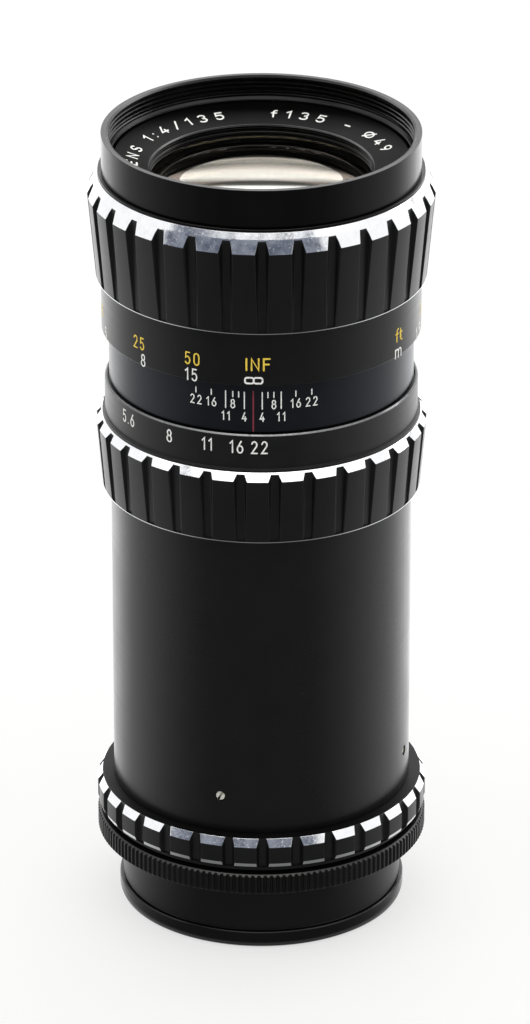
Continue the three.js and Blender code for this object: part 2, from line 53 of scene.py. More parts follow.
class Nodes:
    """A node tree. place is the coordinate that its textures use."""

    def __init__(self, tree, coordinate):
        self.tree = tree
        self.place = self.add("ShaderNodeTexCoord").outputs[coordinate]

    def add(self, kind, settings=None, **inputs):
        node = self.tree.nodes.new(kind)
        for key, value in (settings or {}).items():
            setattr(node, key, value)
        for key, value in inputs.items():
            self.put(node.inputs[key.replace("_", " ")], value)
        return node

    def put(self, socket, value):
        if isinstance(value, bpy.types.NodeSocket):
            self.tree.links.new(value, socket)
        else:
            socket.default_value = value

    def math(self, operation, a, b=0.0):
        node = self.add("ShaderNodeMath", {"operation": operation})
        self.put(node.inputs[0], a)
        self.put(node.inputs[1], b)
        return node.outputs[0]

    def noise(self, scale, detail=2.0, place=None, roughness=0.5):
        inputs = {"Scale": scale, "Detail": detail, "Roughness": roughness, "Vector": place or self.place}
        return self.add("ShaderNodeTexNoise", **inputs).outputs["Fac"]

    def spread(self, value, low, high, start=0.3, end=0.7):
        """The value from start to end, spread over low to high."""
        node = self.add("ShaderNodeMapRange", {"clamp": True})
        for socket, number in zip(node.inputs, (value, start, end, low, high)):
            self.put(socket, number)
        return node.outputs["Result"]

    def step(self, value, start, end, low=0.0, high=1.0):
        """A smooth step from low to high as the value goes from start to end."""
        node = self.add("ShaderNodeMapRange", {"interpolation_type": "SMOOTHSTEP"})
        for socket, number in zip(node.inputs, (value, start, end, low, high)):
            self.put(socket, number)
        return node.outputs["Result"]

    def mix(self, share, a, b):
        node = self.add("ShaderNodeMix", {"data_type": "RGBA"})
        self.put(node.inputs["Factor"], share)
        self.put(node.inputs[6], (*a, 1) if isinstance(a, tuple) else a)
        self.put(node.inputs[7], (*b, 1) if isinstance(b, tuple) else b)
        return node.outputs[2]

    def parts(self):
        return self.add("ShaderNodeSeparateXYZ", Vector=self.place).outputs

    def from_axis(self, x, y):
        return self.math("SQRT", self.math("ADD", self.math("POWER", x, 2.0), self.math("POWER", y, 2.0)))

    def bearing(self, x, y, middle):
        """The angle round the axis to either side of a middle one, in radians. The index line is at 0."""
        turn = self.math("ARCTAN2", x, self.math("MULTIPLY", y, -1.0))
        return self.math("ABSOLUTE", self.math("ADD", turn, -middle))

    def rings(self):
        """Coordinates in which a texture makes lines round the axis: the distance from it, and the height."""
        x, y, z = self.parts()
        return self.add("ShaderNodeCombineXYZ", X=self.from_axis(x, y), Z=z).outputs[0]

    def around(self, stretch):
        """Coordinates that change quickly round the axis and slowly up it: streaks that run up a wall."""
        node = self.add("ShaderNodeMapping", Vector=self.place)
        node.inputs["Scale"].default_value = (1, 1, stretch)
        return node.outputs[0]

    def specks(self, cell, size, kept):
        """1 on small round specks, one at most in a cell of this many mm, and only in a share of the cells."""
        node = self.add("ShaderNodeTexVoronoi", Scale=1000 / cell, Vector=self.place)
        near = self.math("LESS_THAN", node.outputs["Distance"], size / cell)
        chosen = self.add("ShaderNodeSeparateColor", Color=node.outputs["Color"]).outputs[0]
        return self.math("MULTIPLY", near, self.math("LESS_THAN", chosen, kept))

    def bump(self, height, strength, distance, normal=None):
        node = self.add("ShaderNodeBump", Strength=strength, Distance=distance * MM, Height=height)
        if normal is not None:
            self.put(node.inputs["Normal"], normal)
        return node.outputs["Normal"]


class Tree(Nodes):
    """A material's node tree with its Principled shader. Coordinates are the object's own, in metres."""

    def __init__(self, name):
        self.material = bpy.data.materials.new(name)
        self.material.use_nodes = True
        self.shader = self.material.node_tree.nodes["Principled BSDF"]
        super().__init__(self.material.node_tree, "Object")

    def set(self, **inputs):
        for key, value in inputs.items():
            self.put(self.shader.inputs[key.replace("_", " ")], value)


def black_metal(name, tone, rough, level, tint=(1, 1, 1), grain=0.25, streaks=0.0, dust=0.35, sheen=(1, 1, 1)):
    """Black anodised or lacquered metal: turned lines round it, cloudy gloss, a little dust."""
    t = Tree(name)
    cloud = t.noise(70, 3)
    grit = t.noise(5200, 2)
    lines = t.noise(2600, 2, t.rings())
    dark = tuple(tone * 0.75 * c for c in tint)
    pale = tuple(tone * 1.3 * c for c in tint)
    colour = t.mix(t.spread(t.noise(240, 4), 0, 1), dark, pale)
    if dust:
        colour = t.mix(t.math("MULTIPLY", t.specks(2.6, 0.055, 0.16), dust), colour, (0.32, 0.31, 0.3))
    gloss = t.spread(cloud, rough * 0.88, rough * 1.1)
    gloss = t.math("ADD", gloss, t.spread(lines, -0.02, 0.02))
    if streaks:
        gloss = t.math("ADD", gloss, t.spread(t.noise(420, 2, t.around(0.02)), -streaks, streaks))
    fine = t.bump(grit, grain, 0.012)
    t.set(Base_Color=colour, Roughness=gloss, Specular_IOR_Level=level, Specular_Tint=(*sheen, 1))
    t.set(Normal=t.bump(lines, grain, 0.006, fine))
    return t.material


def bright_metal(name, colour, rough, lines=0.12, blotches=0.1, pits=0.3, dents=0.35, metal=1.0):
    """Turned and polished metal: fine lines round it, blotches in its gloss, small dark pits."""
    t = Tree(name)
    grooves = t.noise(3800, 3, t.rings())
    blotch = t.noise(900, 4, roughness=0.7)
    dull = tuple(c * 0.78 for c in colour)
    base = t.mix(t.spread(blotch, 0, blotches, 0.42, 0.68), colour, dull)
    base = t.mix(t.math("MULTIPLY", t.specks(1.5, 0.05, 0.35), pits), base, (0.1, 0.1, 0.1))
    smudge = t.noise(2400, 3, roughness=0.6)
    gloss = t.math("ADD", t.spread(blotch, rough * 0.5, rough * 1.3), t.spread(smudge, 0, rough * 1.5, 0.5, 0.72))
    dent = t.bump(t.noise(1100, 2), dents, 0.012)
    t.set(Base_Color=base, Metallic=metal, Roughness=gloss, Normal=t.bump(grooves, lines, 0.008, dent))
    return t.material


def moulded(name, tone, rough, level=0.5):
    """Black moulded plastic: cloudy gloss, a fine orange peel, short scuffs and dust."""
    t = Tree(name)
    colour = t.mix(t.spread(t.noise(150, 4), 0, 1), (tone * 0.8,) * 3, (tone * 1.25,) * 3)
    scuff = t.spread(t.noise(900, 3, t.around(4.0), 0.7), 0, 1, 0.66, 0.74)
    colour = t.mix(t.math("MULTIPLY", scuff, 0.1), colour, (0.2, 0.2, 0.2))
    colour = t.mix(t.math("MULTIPLY", t.specks(2.2, 0.05, 0.2), 0.5), colour, (0.4, 0.39, 0.37))
    gloss = t.math("ADD", t.spread(t.noise(110, 3), rough * 0.85, rough * 1.15), t.math("MULTIPLY", scuff, 0.12))
    t.set(Base_Color=colour, Roughness=gloss, Specular_IOR_Level=level, Normal=t.bump(t.noise(1500, 3), 0.15, 0.02))
    return t.material


def filled(name, colour, worn):
    """Paint in an engraving: slightly uneven, with grime."""
    t = Tree(name)
    patch = t.noise(1900, 4, roughness=0.65)
    t.set(
        Base_Color=t.mix(t.spread(patch, 0, 1, 0.4, 0.75), colour, worn),
        Roughness=t.spread(patch, 0.45, 0.7),
        Normal=t.bump(t.noise(6000, 2), 0.3, 0.01),
    )
    return t.material


def glass(name, tint, film, index=1.62):
    """Optical glass under a single coating, which gives its reflections their colour."""
    t = Tree(name)
    haze = t.spread(t.noise(260, 3, roughness=0.7), 0.0, 0.035, 0.5, 0.8)
    t.set(
        Base_Color=t.mix(t.spread(t.noise(90, 2), 0, 0.2), tint, tuple(c * 0.96 for c in tint)),
        Roughness=haze,
        IOR=index,
        Transmission_Weight=1.0,
        Thin_Film_Thickness=film,
        Thin_Film_IOR=1.38,
    )
    return t.material


def greased_brass(name):
    t = Tree(name)
    smear = t.noise(300, 4, roughness=0.7)
    t.set(
        Base_Color=t.mix(t.spread(smear, 0, 1), (0.55, 0.38, 0.14), (0.34, 0.24, 0.1)),
        Metallic=1.0,
        Roughness=t.spread(smear, 0.22, 0.42),
        Normal=t.bump(t.noise(3000, 3, t.rings()), 0.3, 0.01),
    )
    return t.material


MATERIALS = {
    "tube": black_metal("tube_black", 0.0026, 0.31, 0.5, streaks=0.02),
    "rib": black_metal("rib_black", 0.0032, 0.34, 0.5, grain=0.35, dust=0.6),
    "scale": black_metal("scale_black", 0.0026, 0.32, 0.5),
    "number": black_metal("number_black", 0.005, 0.36, 0.5),
    "bevel": bright_metal("worn_edge", (0.16, 0.16, 0.165), 0.2, blotches=0.9, dents=0.5),
    "index": black_metal("index_blue_black", 0.0035, 0.31, 0.5, tint=(0.85, 0.95, 1.4), sheen=(0.9, 0.94, 1.08)),
    "rim": black_metal("rim_black", 0.0012, 0.22, 0.35, streaks=0.05, dust=0.5),
    "thread": black_metal("thread_black", 0.002, 0.26, 0.36, grain=0.05, dust=0.4),
    "lip": black_metal("lip_black", 0.003, 0.3, 0.6, dust=0.5),
    "matt": black_metal("matt_black", 0.0015, 0.5, 0.12, grain=0.5, dust=0.2),
    "name": black_metal("name_black", 0.0012, 0.4, 0.045, grain=0.3, dust=0.5),
    "cap": moulded("cap_black", 0.003, 0.3, 0.4),
    "bead": moulded("bead_black", 0.0025, 0.16, 0.3),
    "chrome": bright_metal("polished_chrome", (0.92, 0.93, 0.95), 0.13, blotches=0.3, dents=0.6),
    "steel": bright_metal("bright_steel", (0.62, 0.62, 0.6), 0.24, lines=0.3),
    "screw": bright_metal("screw_steel", (0.9, 0.87, 0.76), 0.3, lines=0.1, blotches=0.5, metal=0.2),
    "blade": bright_metal("blade_steel", (0.06, 0.065, 0.075), 0.3, lines=0.25),
    "brass": greased_brass("greased_brass"),
    "white": filled("white_fill", (0.88, 0.88, 0.85), (0.66, 0.66, 0.62)),
    "yellow": filled("yellow_fill", (0.86, 0.62, 0.06), (0.62, 0.42, 0.03)),
    "red": filled("red_fill", (0.24, 0.018, 0.04), (0.13, 0.012, 0.026)),
    "glass": glass("coated_glass", (0.95, 0.94, 0.87), 100),
    "inner_glass": glass("inner_glass", (0.95, 0.94, 0.87), 100, 1.55),
}


# ---------------------------------------------------------------- mesh tools


def piece(name, body, nodes, verts, faces, looks, shades=None, crease=CREASE):
    """A mesh piece, from points in mm. looks are names in MATERIALS, and shades has the index of one for each face."""
    mesh = bpy.data.meshes.new(name)
    mesh.from_pydata([[c * MM for c in v] for v in verts], [], faces)
    for look in looks:
        mesh.materials.append(MATERIALS[look])
    if shades:
        mesh.polygons.foreach_set("material_index", shades)
    bm = bmesh.new()
    bm.from_mesh(mesh)
    bmesh.ops.remove_doubles(bm, verts=bm.verts, dist=2e-6)
    bmesh.ops.dissolve_degenerate(bm, edges=bm.edges, dist=1e-7)
    bmesh.ops.recalc_face_normals(bm, faces=bm.faces)
    bm.to_mesh(mesh)
    bm.free()
    mesh.polygons.foreach_set("use_smooth", [True] * len(mesh.polygons))
    mesh.set_sharp_from_angle(angle=math.radians(crease))
    obj = bpy.data.objects.new(name, mesh)
    bpy.context.scene.collection.objects.link(obj)
    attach(obj, body)
    if nodes:
        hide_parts(*nodes)
    return obj


def eased(profile, closed=True, ease=EASE, steps=3, hold=0.06):
    """The outline with its corners rounded. A point may carry its own radius. Short held stretches beside each corner
    keep the shading of the flats true."""
    count = len(profile)
    out = []
    for i, point in enumerate(profile):
        here = Vector(point[:2])
        if not closed and i in (0, count - 1):
            out.append(here)
            continue
        before = Vector(profile[i - 1][:2]) - here
        after = Vector(profile[(i + 1) % count][:2]) - here
        turn = math.pi - before.angle(after)
        radius = point[2] if len(point) > 2 else ease
        if turn < math.radians(4) or radius == 0:
            out.append(here)
            continue
        cut = min(radius * math.tan(turn / 2), 0.4 * before.length, 0.4 * after.length)
        start = here + before.normalized() * cut
        end = here + after.normalized() * cut
        if before.length > 2 * (cut + hold):
            out.append(start + before.normalized() * hold)
        for k in range(steps + 1):
            u = k / steps
            out.append((1 - u) ** 2 * start + 2 * u * (1 - u) * here + u * u * end)
        if after.length > 2 * (cut + hold):
            out.append(end + after.normalized() * hold)
    return [(p.x, p.y) for p in out]


THREAD_FORM = ((0, 0), (0.14, 0), (0.46, 1), (0.68, 1))  # share of the pitch, share of the depth


def threaded(outline, cut):
    """The outline with the rows of a thread on its upright wall. cut is (wall radius, low, high, pitch, depth).
    A thread's row has a third number, its share of the depth."""
    wall, low, high, pitch, _ = cut
    turns = math.ceil((high - low) / pitch) + 1
    helix = [(wall, low + pitch * (n - 1 + share), deep) for n in range(turns) for share, deep in THREAD_FORM]
    helix.append((wall, high, 0))
    out = []
    for i, here in enumerate(outline):
        after = outline[(i + 1) % len(outline)]
        out.append(here)
        on_wall = abs(here[0] - wall) < 1e-6 and abs(after[0] - wall) < 1e-6
        if on_wall and min(here[1], after[1]) <= low and max(here[1], after[1]) >= high:
            out += helix if after[1] > here[1] else helix[::-1]
    return out


def swept(row, cut, segments):
    """One row of a turned piece. A thread's row climbs by one pitch, so the row ends on the one a pitch above it."""
    points = []
    for k in range(segments + 1 if cut else segments):
        r, z = row[:2]
        if len(row) > 2:
            wall, low, high, pitch, depth = cut
            z = min(high, max(low, z + pitch * k / segments))
            fade = min(1.0, 2.5 * (z - low) / pitch, 2.5 * (high - z) / pitch)
            r = wall + depth * row[2] * fade
        points.append(on_axis(r, TURN * k / segments, z))
    return points


def grid(rows, closed, wrap=True):
    """Faces between rows of points that each run once round the axis. Without wrap the rows' ends aren't joined."""
    width = len(rows[0])
    count = len(rows)
    faces = []
    for i in range(count if closed else count - 1):
        j = (i + 1) % count
        for k in range(width if wrap else width - 1):
            m = (k + 1) % width
            faces.append((i * width + k, i * width + m, j * width + m, j * width + k))
    return faces


def on_axis(r, angle, z):
    """The point at a radius, a bearing from the index line (towards +X) and a height."""
    return (r * math.sin(angle), -r * math.cos(angle), z)


def turned(name, body, nodes, looks, profile, closed=True, segments=ROUND, ease=EASE, cut=None, shade=None):
    """A turned piece: the outline, in (radius, height), swept round the axis. shade(r, z) picks a look."""
    outline = eased(profile, closed, ease)
    if cut:
        outline = threaded(outline, cut)
    rows = [swept(row, cut, segments) for row in outline]
    faces = grid(rows, closed, wrap=not cut)
    shades = None
    if shade:
        count = len(outline)
        shades = []
        for i in range(count if closed else count - 1):
            (r0, z0), (r1, z1) = outline[i][:2], outline[(i + 1) % count][:2]
            shades += [shade((r0 + r1) / 2, (z0 + z1) / 2)] * segments
    return piece(name, body, nodes, [p for row in rows for p in row], faces, looks, shades)


def lens_face(apex, radius, rim, steps=14):
    """Points on a glass surface, from the axis to its rim. A positive radius has its centre below the apex."""
    out = []
    for k in range(steps + 1):
        r = rim * k / steps
        drop = abs(radius) - math.sqrt(radius * radius - r * r)
        out.append((r, apex - math.copysign(drop, radius), 0))
    return out


def slotted(name, body, nodes, looks, outer, inner, floor, count, first, half, flare, polished, edge=0.06,
            ribs=4):
    """A ring with slots cut up its outside. outer is the outline from foot to top, inner the way back down inside.
    floor(z) is the slots' depth as a radius. polished lists the bands (low, high) of bright metal on the ribs, which
    have the second look. A third look goes on the level faces."""
    crossed = []
    rim = eased(outer, closed=False, ease=0.06)
    for (r0, z0), (r1, z1) in zip(rim, rim[1:]):
        crossed.append((r0, z0))
        d0, d1 = r0 - floor(z0), r1 - floor(z1)
        if d0 * d1 < 0:
            share = d0 / (d0 - d1)
            crossed.append((r0 + share * (r1 - r0), z0 + share * (z1 - z0)))
    crossed.append(rim[-1])
    loop = [(r, z, True) for r, z in crossed] + [(r, z, False) for r, z in inner]
    slope = math.tan(math.radians(flare))
    pitch = TURN / count
    rows = []
    for r, z, outside in loop:
        deep = max(0.0, r - floor(z)) if outside else 0.0
        low = r - deep
        soft = min(edge, deep / 2)
        wall = half + deep * slope
        side = [
            (half * 0.5 / low, low),
            (half * 0.88 / low, low),
            ((half + 0.12 * (wall - half)) / low, low + 0.12 * deep),
            ((half + (wall - half) * 0.5) / r, low + 0.5 * deep),
            ((wall - soft * slope) / r, r - soft),
            ((wall + soft * 0.3) / r, r - soft * 0.25),
            ((wall + soft) / r, r),
            ((wall + soft + 0.06) / r, r),
        ]
        start = side[-1][0]
        side += [(start + (pitch / 2 - start) * k / ribs, r) for k in range(1, ribs + 1)]
        ring = [(-a, q) for a, q in reversed(side[:-1])] + [(0, low)] + side
        row = []
        for k in range(count):
            centre = math.radians(first) + k * pitch
            row += [on_axis(q, centre + a, z) for a, q in ring]
        rows.append(row)
    faces = grid(rows, True)
    each = len(rows[0]) // count
    walls = 6
    middle = each // 2 - (0 if each % 2 else 1)
    shades = []
    for i, (r, z, outside) in enumerate(loop):
        r1, z1, outside1 = loop[(i + 1) % len(loop)]
        level = (z + z1) / 2
        bright = outside and outside1 and any(a <= level <= b for a, b in polished)
        open_here = (r + r1) / 2 > floor(level) + 1e-4
        plain = 2 if len(looks) > 2 and abs(z - z1) < 1e-6 else 0
        for k in range(len(rows[0])):
            spot = k % each + 0.5
            in_slot = abs(spot - middle) < walls
            shades.append(1 if bright and not (in_slot and open_here) else plain)
    return piece(name, body, nodes, [p for row in rows for p in row], faces, looks, shades)


def cut_from(obj, cutters):
    """Cuts solids out of a piece. A cutter is a list of (verts, faces), in mm."""
    verts, faces = [], []
    for points, sides in cutters:
        faces += [tuple(i + len(verts) for i in side) for side in sides]
        verts += points
    mesh = bpy.data.meshes.new("cutter")
    mesh.from_pydata([[c * MM for c in v] for v in verts], [], faces)
    bm = bmesh.new()
    bm.from_mesh(mesh)
    bmesh.ops.recalc_face_normals(bm, faces=bm.faces)
    bm.to_mesh(mesh)
    bm.free()
    tool = bpy.data.objects.new("cutter", mesh)
    bpy.context.scene.collection.objects.link(tool)
    modifier = obj.modifiers.new("cut", "BOOLEAN")
    modifier.object = tool
    modifier.solver = "EXACT"
    shown = obj.evaluated_get(bpy.context.evaluated_depsgraph_get())
    result = bpy.data.meshes.new_from_object(shown)
    obj.modifiers.clear()
    obj.data = result
    result.polygons.foreach_set("use_smooth", [True] * len(result.polygons))
    result.set_sharp_from_angle(angle=math.radians(CREASE))
    bpy.data.objects.remove(tool)
    return obj


def rod(turn, z, inner, outer, radius, sides=32):
    """A round bar that points away from the axis, as (verts, faces)."""
    angle = math.radians(turn)
    out = Vector(on_axis(1, angle, 0))
    across = Vector((out.y, -out.x, 0))
    points = []
    for reach in (inner, outer):
        for k in range(sides):
            a = TURN * k / sides
            points.append(tuple(
                out * reach + across * radius * math.cos(a) + Vector((0, 0, z + radius * math.sin(a)))
            ))
    faces = [tuple(reversed(range(sides))), tuple(range(sides, 2 * sides))]
    faces += [(k, (k + 1) % sides, sides + (k + 1) % sides, sides + k) for k in range(sides)]
    return points, faces


def slab(turn, z, inner, outer, width, height, tilt=0.0):
    """A flat bar that points away from the axis, tilted about its own length, as (verts, faces)."""
    angle = math.radians(turn)
    out = Vector(on_axis(1, angle, 0))
    across = Vector((-out.y, out.x, 0))
    lean = math.radians(tilt)
    u = across * math.cos(lean) + Vector((0, 0, math.sin(lean)))
    v = Vector((0, 0, math.cos(lean))) - across * math.sin(lean)
    points = []
    for reach in (inner, outer):
        for a, b in ((-1, -1), (1, -1), (1, 1), (-1, 1)):
            points.append(tuple(
                out * reach + u * a * width / 2 + v * b * height / 2 + Vector((0, 0, z))
            ))
    faces = [(3, 2, 1, 0), (4, 5, 6, 7), (0, 1, 5, 4), (1, 2, 6, 5), (2, 3, 7, 6), (3, 0, 4, 7)]
    return points, faces


# ---------------------------------------------------------------- lettering


def arc(x, y, across, up, start, end, steps=12):
    """Points on part of an ellipse; angles in degrees from +x."""
    turns = [math.radians(start + (end - start) * k / steps) for k in range(steps + 1)]
    return [(x + across * math.cos(a), y + up * math.sin(a)) for a in turns]


def box_loop(x, half, corner=0.36):
    """A closed box with round corners, 1 high, centred at x."""
    loop = []
    for side, up, start in ((1, 1, 0), (-1, 1, 90), (-1, -1, 180), (1, -1, 270)):
        centre = (x + side * (half - corner), 0.5 + up * (0.5 - corner))
        loop += arc(*centre, corner, corner, start, start + 90, 6)
    return loop + loop[:1]


def upside_down(strokes, width):
    return [[(width - x, 1 - y) for x, y in stroke] for stroke in strokes]


DOT = [(0.0, 0.05), (0.01, 0.05)]
SIX = arc(0.28, 0.3, 0.28, 0.3, 150, -215, 24) + [(0.1, 0.56), (0.4, 1.0)]
GLYPHS = {  # width, then strokes, for a height of 1
    "0": (0.56, [arc(0.28, 0.72, 0.28, 0.28, 0, 180) + arc(0.28, 0.28, 0.28, 0.28, 180, 360) + [(0.56, 0.72)]]),
    "1": (0.26, [[(0.0, 0.78), (0.24, 1.0), (0.24, 0.0)]]),
    "2": (0.56, [arc(0.27, 0.73, 0.26, 0.27, 165, -32) + [(0.0, 0.0), (0.56, 0.0)]]),
    "3": (0.54, [arc(0.26, 0.76, 0.24, 0.24, 150, -90) + arc(0.26, 0.26, 0.28, 0.26, 90, -150)]),
    "4": (0.6, [[(0.36, 1.0), (0.0, 0.26), (0.6, 0.26)], [(0.42, 0.52), (0.42, 0.0)]]),
    "5": (0.54, [[(0.5, 1.0), (0.08, 1.0), (0.04, 0.54)] + arc(0.26, 0.32, 0.28, 0.32, 125, -150)]),
    "6": (0.56, [SIX]),
    "7": (0.54, [[(0.0, 1.0), (0.54, 1.0), (0.16, 0.0)]]),
    "9": (0.56, upside_down([SIX], 0.56)),
    "8": (0.56, [arc(0.28, 0.76, 0.23, 0.24, -90, 270, 20), arc(0.28, 0.27, 0.28, 0.27, -270, 90, 22)]),
    ".": (0.02, [DOT]),
    ":": (0.02, [DOT, [(0.0, 0.62), (0.01, 0.62)]]),
    "/": (0.42, [[(0.0, -0.06), (0.42, 1.06)]]),
    "-": (0.4, [[(0.0, 0.48), (0.4, 0.48)]]),
    "I": (0.02, [[(0.01, 0.0), (0.01, 1.0)]]),
    "M": (0.7, [[(0.0, 0.0), (0.0, 1.0), (0.35, 0.35), (0.7, 1.0), (0.7, 0.0)]]),
    "N": (0.62, [[(0.0, 0.0), (0.0, 1.0), (0.62, 0.0), (0.62, 1.0)]]),
    "F": (0.52, [[(0.52, 1.0), (0.0, 1.0), (0.0, 0.0)], [(0.0, 0.52), (0.44, 0.52)]]),
    "E": (0.52, [[(0.52, 1.0), (0.0, 1.0), (0.0, 0.0), (0.52, 0.0)], [(0.0, 0.52), (0.44, 0.52)]]),
    "L": (0.5, [[(0.0, 1.0), (0.0, 0.0), (0.5, 0.0)]]),
    "T": (0.6, [[(0.0, 1.0), (0.6, 1.0)], [(0.3, 1.0), (0.3, 0.0)]]),
    "S": (0.56, [arc(0.28, 0.75, 0.25, 0.25, 25, 270, 16) + arc(0.28, 0.25, 0.28, 0.25, 90, -155, 16)]),
    "f": (0.34, [arc(0.36, 0.78, 0.22, 0.22, 90, 180, 6) + [(0.14, 0.0)], [(0.0, 0.62), (0.34, 0.62)]]),
    "t": (0.34, [[(0.12, 0.92), (0.12, 0.2)] + arc(0.32, 0.2, 0.2, 0.2, 180, 280, 6), [(0.0, 0.64), (0.34, 0.64)]]),
    "m": (0.78, [
        [(0.0, 0.66), (0.0, 0.0)],
        [(0.0, 0.4)] + arc(0.2, 0.45, 0.19, 0.21, 170, 0, 8) + [(0.39, 0.0)],
        [(0.39, 0.4)] + arc(0.59, 0.45, 0.19, 0.21, 170, 0, 8) + [(0.78, 0.0)],
    ]),
    " ": (0.5, []),
    "infinity": (2.84, [box_loop(0.71, 0.71), box_loop(2.13, 0.71)]),
    "diameter": (0.8, [arc(0.4, 0.5, 0.4, 0.4, 0, 360, 28), [(0.05, 0.0), (0.75, 1.0)]]),
}


def written(text, height, gap, wide=0.75):
    """Strokes of a line of text, in mm, centred on (0, 0). text is a word, or a list of glyph names."""
    widths = [GLYPHS[mark][0] * height * wide for mark in text]
    left = -(sum(widths) + gap * (len(text) - 1)) / 2
    strokes = []
    for mark, width in zip(text, widths):
        for stroke in GLYPHS[mark][1]:
            strokes.append([(left + x * height * wide, (y - 0.5) * height) for x, y in stroke])
        left += width + gap
    return strokes


def outlined(stroke, width):
    """A stroke's points, and the points on its left and on its right side."""
    points = [Vector(p) for p in stroke]
    count = len(points)
    normals = []
    for i in range(count):
        ahead = points[i + 1] - points[i] if i < count - 1 else points[i] - points[i - 1]
        behind = points[i] - points[i - 1] if i else ahead
        ahead, behind = ahead.normalized(), behind.normalized()
        middle = (ahead + behind).normalized() if (ahead + behind).length > 0.2 else ahead
        reach = 1 / max(0.5, middle.dot(ahead))
        normals.append(Vector((-middle.y, middle.x)) * reach)
    half = width / 2
    left = [p + n * half for p, n in zip(points, normals)]
    right = [p - n * half for p, n in zip(points, normals)]
    return points, left, right


def on_wall(radius, bearing, z):
    """Lettering on an upright wall, read from outside."""
    def where(x, y, h):
        return on_axis(radius + h, math.radians(bearing) + x / radius, z + y)
    return where


def on_cone(radius, z, slope, bearing):
    """Lettering round the top of a dished ring, its foot towards the axis. slope is the rise per mm outwards."""
    run = 1 / math.hypot(1, slope)

    def where(x, y, h):
        out = radius + (y - slope * h) * run
        return on_axis(out, math.radians(bearing) - x / radius, z + (y * slope + h) * run)
    return where


def lettering(name, body, look, width, parts):
    """One piece from many short texts: parts is a list of (strokes, where)."""
    verts, faces = [], []
    for strokes, where in parts:
        obj_verts, obj_faces = ribbon(strokes, width, where)
        faces += [tuple(i + len(verts) for i in f) for f in obj_faces]
        verts += obj_verts
    return piece(name, body, [], verts, faces, [look], crease=40)


def ribbon(strokes, width, where, proud=0.012, sunk=0.05, ends=5):
    """Paint-filled strokes as thin raised ribbons with round ends."""
    verts, faces = [], []
    for number, stroke in enumerate(strokes):
        points, left, right = outlined(stroke, width)
        height = proud + 0.001 * (number % 3)
        caps = []
        for tip, side in ((points[0], left[0] - points[0]), (points[-1], right[-1] - points[-1])):
            start = math.atan2(side.y, side.x)
            caps.append([
                tip + Vector((math.cos(a), math.sin(a))) * width / 2
                for a in (start + math.pi * k / ends for k in range(ends + 1))
            ])
        loop = caps[0] + right[1:-1] + caps[1] + left[1:-1][::-1]
        base = len(verts)
        total = len(loop)
        for p in loop:
            verts.append(where(p.x, p.y, height))
        for p in loop:
            verts.append(where(p.x, p.y, -sunk))
        for k in range(total):
            m = (k + 1) % total
            faces.append((base + k, base + total + k, base + total + m, base + m))
        inner = len(points) - 2
        cap0 = [base + k for k in range(ends + 1)]
        faces.append(tuple(cap0))
        cap1 = [base + ends + 1 + inner + k for k in range(ends + 1)]
        faces.append(tuple(cap1))
        lefts = [cap0[0]] + [base + 2 * (ends + 1) + inner + (inner - 1 - k) for k in range(inner)] + [cap1[-1]]
        rights = [cap0[-1]] + [base + ends + 1 + k for k in range(inner)] + [cap1[0]]
        for k in range(len(lefts) - 1):
            faces.append((lefts[k], rights[k], rights[k + 1], lefts[k + 1]))
    return verts, faces


# ---------------------------------------------------------------- rear cap and mount

turned(
    "cap_sleeve", "rear_cap", ["rear_cap"], ["cap", "bead"],
    [(0, 0), (22.75, 0, 0.2), (23.3, 0.35, 0.3), (23.45, 0.9, 0.3), (23.45, 2.7, 0.15), (23.3, 2.9, 0.1),
     (22.7, 2.95, 0.05), (22.65, 3.15, 0.05), (22.9, 3.25, 0.05), (22.9, 11.7, 0), (22.9, 14.9), (21.3, 14.9),
     (21.3, 2), (0, 2)],
    closed=False, shade=lambda r, z: 1 if 22.8 < r and z < 2.93 else 0,
)

KNURLS = 166  # flutes round the cap
NO_SLOT = 30  # mm, outside every ring: no slot is cut at that height
GRIP_SLOTS = 30  # round each grip ring
SLOT_HALF, SLOT_FLARE = 0.62, 28  # half width of a slot's floor, mm, and the lean of its walls, degrees
FLUTE_FLOOR = 26.72  # mm; the flutes run out through the collar's top edge

slotted(
    "cap_collar", "rear_cap", ["rear_cap"], ["cap"],
    [(22.6, 11.6), (26.6, 11.6, 0.1), (27, 12.0, 0.1), (27, 14.8, 0.1), (26.6, 15.2, 0.1), (21.5, 15.2)],
    [(21.3, 15.0), (21.3, 11.6)],
    lambda z: FLUTE_FLOOR, KNURLS, 0.0, 0.13, 38, [], edge=0.04, ribs=1,
)

turned(
    "mount", "barrel", ["mount_ring"], ["chrome"],
    [(19.2, 11), (20.6, 11), (21, 11.4), (21, 15.65), (24, 15.65), (24, 16.3), (22.55, 16.3), (22.55, 31), (21.3, 31),
     (21.3, 16.6), (19.2, 16.6)],
    cut=(21, 11.57, 15.43, 1.0, -0.5),
)


def rear_floor(z):
    return 26.2 if z > 16.5 else NO_SLOT


slotted(
    "rear_grip", "barrel", ["rear_grip_ring"], ["rib", "chrome", "matt"],
    [(24.15, 15.65), (26, 15.65), (26, 16.5), (26.55, 16.5), (26.8, 16.72, 0.03), (27, 17.35, 0.03), (27, 20.2),
     (26.2, 21.5), (22.65, 21.5)],
    [(22.65, 16.4), (24.15, 16.4)],
    rear_floor, GRIP_SLOTS, 3.45, SLOT_HALF, SLOT_FLARE, [(20.22, 21.48), (16.74, 17.33)],
)

# ---------------------------------------------------------------- tube and set screws

